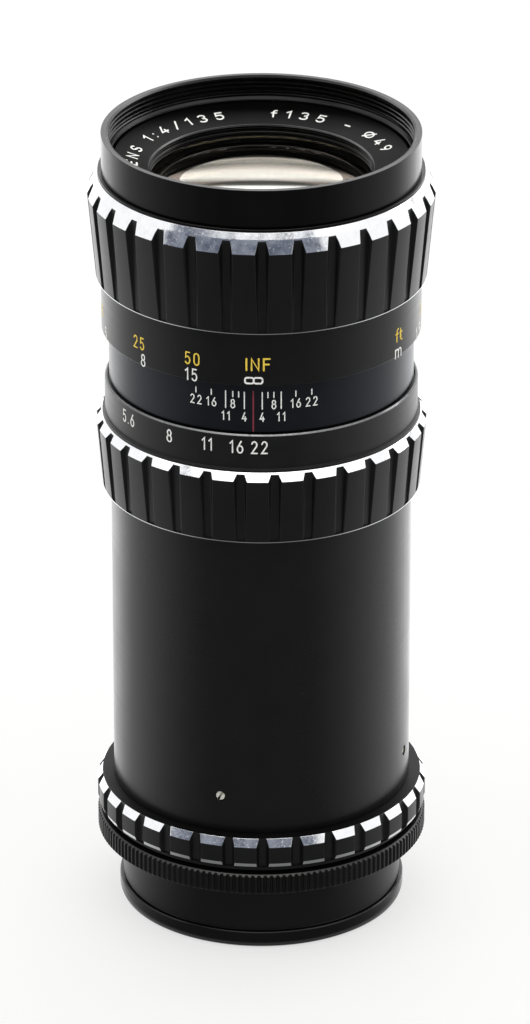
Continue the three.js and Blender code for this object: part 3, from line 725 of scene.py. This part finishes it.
SCREW_Z = 27.8
SCREW_BEARINGS = (-13, 77, 167, 257)
HOLE_RADIUS, SCREW_RADIUS, SCREW_TOP = 0.88, 0.74, 24.02  # mm; the top is a distance from the axis
SCREW_SLOT, SCREW_LEAN = 0.36, -27  # width of the slot, mm, and its lean, degrees
tube = turned(
    "tube", "barrel", ["main_barrel"], ["tube"],
    [(22.65, 21.55), (24.3, 21.55), (24.3, 26.2, 0), (24.3, 29.4, 0), (24.3, 73.6), (24, 73.6), (24, 92.6),
     (23.5, 92.6), (23.5, 97.6), (22.65, 97.6)],
)
cut_from(tube, [rod(b, SCREW_Z, 22, 25, HOLE_RADIUS) for b in SCREW_BEARINGS])

for number, bearing in enumerate(SCREW_BEARINGS, 1):
    points, sides = rod(bearing, SCREW_Z, 22.7, SCREW_TOP, SCREW_RADIUS, 40)
    screw = piece(f"set_screw_{number}", "barrel", [f"tube_screw_{number}"], points, sides, ["screw"])
    cut_from(screw, [slab(bearing, SCREW_Z, 23.3, 25, SCREW_SLOT, 2.4, SCREW_LEAN)])

# ---------------------------------------------------------------- aperture ring

slotted(
    "aperture_ribs", "aperture_ring", ["aperture_grip"], ["rib", "chrome"],
    [(24.15, 73.85), (25.56, 73.85), (25.7, 73.98), (25.72, 74.1), (26.65, 84.9), (25.62, 86.2), (24.6, 86.2),
     (24.6, 92.3), (24.15, 92.3)],
    [],
    lambda z: 25.4 + 0.45 * (z - 73.85) / 12.05 if 74.11 < z < 86.3 else NO_SLOT,
    GRIP_SLOTS, 7.7, SLOT_HALF, SLOT_FLARE, [(84.92, 86.18), (73.86, 74.11)],
)

turned(
    "number_band", "aperture_ring", ["aperture_scale_ring"], ["number", "bevel"],
    [(24.65, 86.3), (25.65, 86.3), (25.65, 86.6), (25.2, 86.65), (25.2, 92.25), (24.98, 92.5), (24.65, 92.5)],
    shade=lambda r, z: 1 if z > 92.2 and r > 24.93 else 0,
)

STOPS = {"22": 2.3, "16": -6, "11": -17, "8": -32.4, "5.6": -54.3, "4": -85}
lettering(
    "aperture_numbers", "aperture_ring", "white", 0.24,
    [(written(text, 2.0, 0.75), on_wall(25.2, turn, 90.35)) for text, turn in STOPS.items()],
)

# ---------------------------------------------------------------- index barrel

INDEX_R = 24.5
turned(
    "index_sleeve", "barrel", ["index_barrel"], ["index"],
    [(23.75, 92.7), (24.5, 92.7), (24.5, 118.4), (23.6, 118.4), (23.6, 98), (23.75, 98)],
)
LONG, SHORT = (99.55, 96.7), (99.55, 98.65)
DEPTH = {22: 21.9, 16: 15.8, 11: 10.3, 8: 7.6, 5.6: 5.4, 4: 3.3}
UPPER_ROW, LOWER_ROW = 97.45, 95.3
marks = []
for stop, turn in DEPTH.items():
    top, foot = LONG if stop in (11, 4) else SHORT
    for side in (-1, 1):
        marks.append(([[(0, foot), (0, top)]], on_wall(INDEX_R, side * turn, 0)))
        if stop == 5.6:
            continue
        row = LOWER_ROW if stop in (11, 4) else UPPER_ROW
        marks.append((written(str(stop), 1.42, 0.62), on_wall(INDEX_R, side * turn, row)))
lettering("depth_scale", "barrel", "white", 0.19, marks)
lettering("index_line", "barrel", "red", 0.24, [([[(0, 92.9), (0, 99.7)]], on_wall(INDEX_R, 0, 0))])

# ---------------------------------------------------------------- focusing ring

slotted(
    "focus_ribs", "focus_ring", ["focus_grip"], ["rib", "chrome"],
    [(25.3, 110.1), (26.3, 110.1), (26.46, 110.24), (26.48, 110.36), (27.75, 124.2), (27.27, 125.3, 1.5),
     (26.75, 126.3, 1.5), (26.1, 127.3), (24.7, 127.3)],
    [(24.7, 118.9), (25.3, 118.9)],
    lambda z: 26.2 + 0.64 * (z - 110.1) / 15.8 if z > 110.37 else NO_SLOT,
    GRIP_SLOTS, 3.2, SLOT_HALF, SLOT_FLARE, [(124.22, 127.28), (110.11, 110.37)],
)

SCALE_R = 25.65
turned(
    "distance_band", "focus_ring", ["focus_scale_ring"], ["scale"],
    [(24.7, 101.1), (25.55, 101.1), (25.65, 101.22), (25.65, 110.05), (25.2, 110.05), (25.2, 118.7), (24.7, 118.7)],
)

LEAD = 19.0  # mm that the head comes out for one turn
FOCAL = 135.0  # mm
REST_TURN = 0.9  # degrees that the ring stands short of infinity


def focus_turn(distance):
    """Degrees that the ring turns from infinity to a distance in mm."""
    return 360 / LEAD * FOCAL ** 2 / (distance - 2 * FOCAL) - REST_TURN


METRE, FOOT = 1000, 304.8  # mm
METRE_ROW, FOOT_ROW = 102.05, 104.78
metres = {"15": 15, "8": 8, "5": 5, "4": 4, "3": 3, "2.5": 2.5, "2": 2, "1.75": 1.75, "1.5": 1.5}
feet = {"50": 50, "25": 25, "15": 15, "12": 12, "10": 10, "8": 8, "7": 7, "6": 6, "5": 5}


def distances(marks, unit, row):
    """The numbers of one scale, each where its distance stands. unit is in mm."""
    return [
        (written(text, 1.95, 0.75), on_wall(SCALE_R, -focus_turn(value * unit), row))
        for text, value in marks.items()
    ]


white_marks = distances(metres, METRE, METRE_ROW)
white_marks.append((written("m", 2.2, 0, 1), on_wall(SCALE_R, 60.8, METRE_ROW)))
yellow_marks = distances(feet, FOOT, FOOT_ROW)
yellow_marks.append((written("ft", 2.1, 0.45, 1), on_wall(SCALE_R, 61.2, FOOT_ROW)))
lettering("metre_scale", "focus_ring", "white", 0.23, white_marks)
lettering("foot_scale", "focus_ring", "yellow", 0.24, yellow_marks)
lettering("infinity_mark", "focus_ring", "white", 0.28,
          [(written(["infinity"], 0.97, 0, 1), on_wall(SCALE_R, 0.3, METRE_ROW))])
lettering("inf_mark", "focus_ring", "yellow", 0.29,
          [(written("INF", 1.95, 0.8, 0.92), on_wall(SCALE_R, 1.8, FOOT_ROW))])

# ---------------------------------------------------------------- head

turned(
    "front_rim", "head", ["filter_rim"], ["rim", "thread", "lip"],
    [(22, 123.05), (24.4, 123.05), (24.4, 127.85), (25.5, 127.85), (25.5, 134.1), (24.72, 134.1), (24.3, 133.85),
     (24.3, 130.75), (24.45, 130.6), (24.15, 130.15), (23.95, 130.1), (23.95, 127.1), (22, 127.1)],
    cut=(24.3, 130.95, 133.7, 0.75, 0.42),
    shade=lambda r, z: 2 if z > 134.03 else 1 if r < 24.75 and z > 127.9 else 0,
)
turned(
    "collar", "head", ["rim_collar"], ["rim"],
    [(24.5, 127.4), (26.1, 127.4), (26.1, 127.75), (24.5, 127.75)],
)
NAME_SLOPE = 1.74 / 5.95
turned(
    "name_plate", "head", ["name_ring"], ["name", "thread"],
    [(18.0, 127.2), (23.8, 127.2), (23.8, 129.5), (23.5, 129.81), (17.9, 128.17, 0.15), (17.65, 128.0, 0.1),
     (17.65, 127.92), (17.95, 127.82), (17.65, 127.68), (17.65, 127.55), (17.95, 127.42), (17.65, 127.28),
     (17.7, 127.2)],
    ease=0.02, shade=lambda r, z: 1 if r < 17.96 else 0,
)
NAME_R, NAME_Z = 20.6, 128.97
NAME_TEXT = [  # text, bearing of its middle
    ("1:4/135", 223.3), ("TELE LENS", 291), ("f135", 166), ("-", 140.7), (["diameter", "4", "9"], 117.5), ("M42", 62),
]
lettering(
    "name_text", "head", "white", 0.29,
    [(written(text, 1.68, 1.72, 1.35), on_cone(NAME_R, NAME_Z, NAME_SLOPE, turn)) for text, turn in NAME_TEXT],
)
turned(
    "front_lock_ring", "head", ["front_retaining_ring"], ["thread"],
    [(17.9, 126.2), (19.25, 126.2), (19.25, 127.1), (17.75, 127.1), (17.65, 127.02), (17.95, 126.95), (17.65, 126.82),
     (17.65, 126.68), (17.95, 126.55), (17.65, 126.4), (17.65, 126.25)],
    ease=0.02,
)
turned(
    "cell", "head", ["optics_barrel"], ["matt"],
    [(16.9, 78), (18.2, 78), (18.2, 112.4), (20.4, 112.4), (20.4, 123.1), (21.9, 123.1), (21.9, 126.9), (19.3, 126.9),
     (19.3, 119.5), (16.9, 119.5)],
    segments=INNER,
)


def element(name, node, look, top, under, rim):
    """A glass element between two faces, each a list of points from the axis outwards."""
    outline = [(r, z, 0) for r, z, _ in under] + [(rim, under[-1][1], 0), (rim, top[-1][1], 0)]
    outline += [(r, z, 0) for r, z, _ in reversed(top)]
    return turned(name, "head", [node], [look], outline, closed=False, segments=INNER)


element("front_glass", "front_element", "glass", lens_face(128.2, 75, 19.1), lens_face(121.5, 200, 19.1), 19.2)
element("middle_glass", "doublet_front", "inner_glass", lens_face(119, 45, 16.7), lens_face(112.5, -150, 16.7),
        16.8)
element("doublet_glass", "doublet_rear", "inner_glass", lens_face(112.44, -150, 16.7),
        lens_face(109.5, 32, 14.4) + [(16.7, 106, 0)], 16.8)
element("rear_glass", "rear_element", "glass", lens_face(84.9, 60, 12.9), lens_face(80.6, -60, 12.9), 13)

# ---------------------------------------------------------------- carried-over inner pieces

INNER_LOOKS = {
    "brass": ["fixed_helicoid", "focus_helicoid", "head_sleeve", "thrust_ring", "guide_key",
              "aperture_bridge", "iris_fork"],
    "matt": ["rear_baffle", "rear_cell", "rear_retaining_ring", "lens_spacer", "iris_housing", "iris_cam_ring"],
    "blade": [f"iris_blade_{n}" for n in range(1, 9)],
    "steel": ["guide_key_screw", "click_ball", "click_spring", "aperture_drive_screw", "iris_drive_pin"]
    + [f"helicoid_screw_{n}" for n in (1, 2, 3)] + [f"head_screw_{n}" for n in (1, 2, 3)],
}
for look, nodes in INNER_LOOKS.items():
    for node in nodes:
        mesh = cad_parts[node].data
        mesh.materials.clear()
        mesh.materials.append(MATERIALS[look])

# ---------------------------------------------------------------- studio


def stage(name, mesh):
    """A piece of the studio. It rides on the cap, which the lens stands on: when the cap is drawn off, the lens is
    seen lifted off it."""
    obj = bpy.data.objects.new(name, mesh)
    bpy.context.scene.collection.objects.link(obj)
    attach(obj, "rear_cap")
    return obj


FLOOR_REACH = 4.0  # m, from the axis to the floor's sides
FLOOR_GLOW = 0.62


def studio_floor():
    """A white floor that mostly glows by itself, so that shadows on it stay pale."""
    mesh = bpy.data.meshes.new("floor")
    bm = bmesh.new()
    bmesh.ops.create_grid(bm, x_segments=8, y_segments=8, size=FLOOR_REACH)
    bm.to_mesh(mesh)
    bm.free()
    t = Tree("floor_white")
    t.set(Base_Color=t.mix(t.noise(3, 2), (0.235, 0.235, 0.232), (0.245, 0.245, 0.242)), Roughness=0.7)
    t.set(Specular_IOR_Level=0.0, Emission_Color=(1, 1, 1, 1), Emission_Strength=FLOOR_GLOW)
    mesh.materials.append(t.material)
    stage("floor", mesh)


CARD_NEAR, CARD_FAR, CARD_HEIGHT = 0.0242, 1.6, 0.0006  # m
CARD_STEPS, CARD_RINGS = 96, 14
CARD_MIDDLE = 0.05  # bearing of its darkest part, radians
CARD_FADE = (1.0, 0.45, 0.15, 0.45)  # brightness near the lens and far off, and where the fade starts and ends, m
CARD_SIDES = ((1.8, 2.6, 1.2), (2.8, 3.1, -0.8))  # bearing where a change starts, where it ends, and how much


def dark_card():
    """A grey card on the floor round the lens, which only reflections see. It is darkest before the lens, pale at the
    sides and darker again right behind."""
    verts, faces = [], []
    for i in range(CARD_RINGS + 1):
        r = CARD_NEAR * (CARD_FAR / CARD_NEAR) ** (i / CARD_RINGS)
        for k in range(CARD_STEPS + 1):
            verts.append(on_axis(r, math.pi * (2 * k / CARD_STEPS - 1), CARD_HEIGHT))
    width = CARD_STEPS + 1
    for i in range(CARD_RINGS):
        for q in range(i * width, i * width + CARD_STEPS):
            faces.append((q, q + 1, q + width + 1, q + width))
    mesh = bpy.data.meshes.new("dark_card")
    mesh.from_pydata(verts, [], faces)
    t = Tree("card_grey")
    x, y, _ = t.parts()
    angle = t.bearing(x, y, CARD_MIDDLE)
    share = t.math("MULTIPLY", t.step(angle, 0.55, 2.0, 0.17, 0.95), t.spread(t.from_axis(x, y), *CARD_FADE))
    for start, end, gain in CARD_SIDES:
        share = t.math("ADD", share, t.step(angle, start, end, 0.0, gain))
    tone = t.add("ShaderNodeCombineColor", Red=share, Green=share, Blue=share).outputs[0]
    t.set(Base_Color=(0, 0, 0, 1), Specular_IOR_Level=0.0, Emission_Color=tone, Emission_Strength=1.0)
    mesh.materials.append(t.material)
    card = stage("dark_card", mesh)
    card.visible_camera = False
    card.visible_diffuse = False
    card.visible_shadow = False
    card.visible_transmission = False


ROOM = (1.05, 1.05, 1.05)
CEILING = (0.35, 0.35, 0.35)
CEILING_RISE = (1.3, 1.4)  # elevations that it fades in between, radians
FRONT_MIDDLE = -0.18  # bearing of the middle of the dark side, radians
FRONT_HALF = (0.92, 1.0)  # where the dark side ends to the left and right of that
FRONT_TOP = (0.68, 0.84)  # and upwards
FRONT_DARK, FRONT_PALE = (0.06, 0.075, 0.11), (0.32, 0.34, 0.4)
HIGH_FRONT = (  # lowest and highest elevation, half width, glow: lamps high up before the lens
    (0.6, 1.3, 1.9, (1.6, 1.6, 1.58)), (0.86, 0.98, 0.8, (1.9, 1.88, 1.8)), (0.98, 1.24, 1.1, (4.0, 3.95, 3.8)),
)
SOFTBOX = 5.0
BEHIND = (  # elevation in degrees, brightness: the wall behind the lens, lamps over it, the softbox and the ceiling
    (0, 1.45), (17, 1.45), (18.2, 0.12), (20.2, 0.12), (23, 2.9), (25, 2.9), (27, 1.2), (28.5, 1.3), (29.2, 2.2),
    (30.2, 2.0), (31.3, 0.2), (34.5, 0.2), (35.5, SOFTBOX), (57, SOFTBOX), (63, 0.35),
)
BEHIND_EDGE = (1.9, 2.5)  # bearings that the wall fades in between, radians


def studio_world():
    """A white room with a dark side before the lens, and a wall with a softbox over it behind the lens."""
    world = bpy.data.worlds.new("room")
    world.use_nodes = True
    bpy.context.scene.world = world
    w = Nodes(world.node_tree, "Generated")
    x, y, z = w.parts()
    turn = w.bearing(x, y, FRONT_MIDDLE)
    rise = w.math("ARCSINE", z)
    colour = w.mix(w.step(rise, *CEILING_RISE), ROOM, CEILING)
    for low, top, side, glow in HIGH_FRONT:
        band = w.math("MULTIPLY", w.step(rise, low, low + 0.04), w.step(rise, top, top + 0.04, 1, 0))
        colour = w.mix(w.math("MULTIPLY", band, w.step(turn, side, side + 0.4, 1, 0)), colour, glow)
    cloud = w.noise(14, 4)
    ragged = w.math("ADD", rise, w.math("MULTIPLY", w.math("ADD", cloud, -0.5), 0.25))
    front = w.math("MULTIPLY", w.step(turn, *FRONT_HALF, 1, 0), w.step(ragged, *FRONT_TOP, 1, 0))
    colour = w.mix(front, colour, w.mix(w.step(cloud, 0.4, 0.62), FRONT_DARK, FRONT_PALE))
    ramp = w.add("ShaderNodeValToRGB")
    stops = ramp.color_ramp.elements
    for number, (elevation, glow) in enumerate(BEHIND):
        stop = stops[number] if number < 2 else stops.new(1.0)
        stop.position = elevation / 90
        stop.color = (glow / SOFTBOX,) * 3 + (1,)
    w.put(ramp.inputs["Fac"], w.math("MULTIPLY", w.math("ARCTAN2", z, y), 1 / math.radians(90)))
    glow = w.math("MULTIPLY", ramp.outputs["Color"], SOFTBOX)
    tone = w.add("ShaderNodeCombineColor", Red=glow, Green=glow, Blue=glow).outputs[0]
    w.put(world.node_tree.nodes["Background"].inputs["Color"], w.mix(w.step(turn, *BEHIND_EDGE), colour, tone))


CAMERA_AWAY, CAMERA_HEIGHT = 1.0223, 0.5357  # m, level distance from the axis and height over the floor
CAMERA_BEARING, CAMERA_TILT = 3.0, 24.60  # degrees to the right of the index line, and degrees down


def camera():
    """A long lens in front of the object and above it."""
    data = bpy.data.cameras.new("camera")
    data.lens = 243.4
    data.sensor_width = 36
    data.shift_x = 0.0035
    data.clip_start = 0.05
    data.clip_end = 20
    obj = bpy.data.objects.new("camera", data)
    a = math.radians(CAMERA_BEARING)
    obj.location = on_axis(CAMERA_AWAY, a, CAMERA_HEIGHT)
    obj.rotation_euler = (math.radians(90 - CAMERA_TILT), 0, a)
    bpy.context.scene.collection.objects.link(obj)
    bpy.context.scene.camera = obj


studio_floor()
dark_card()
studio_world()
camera()
bpy.context.scene.view_settings.view_transform = "Standard"
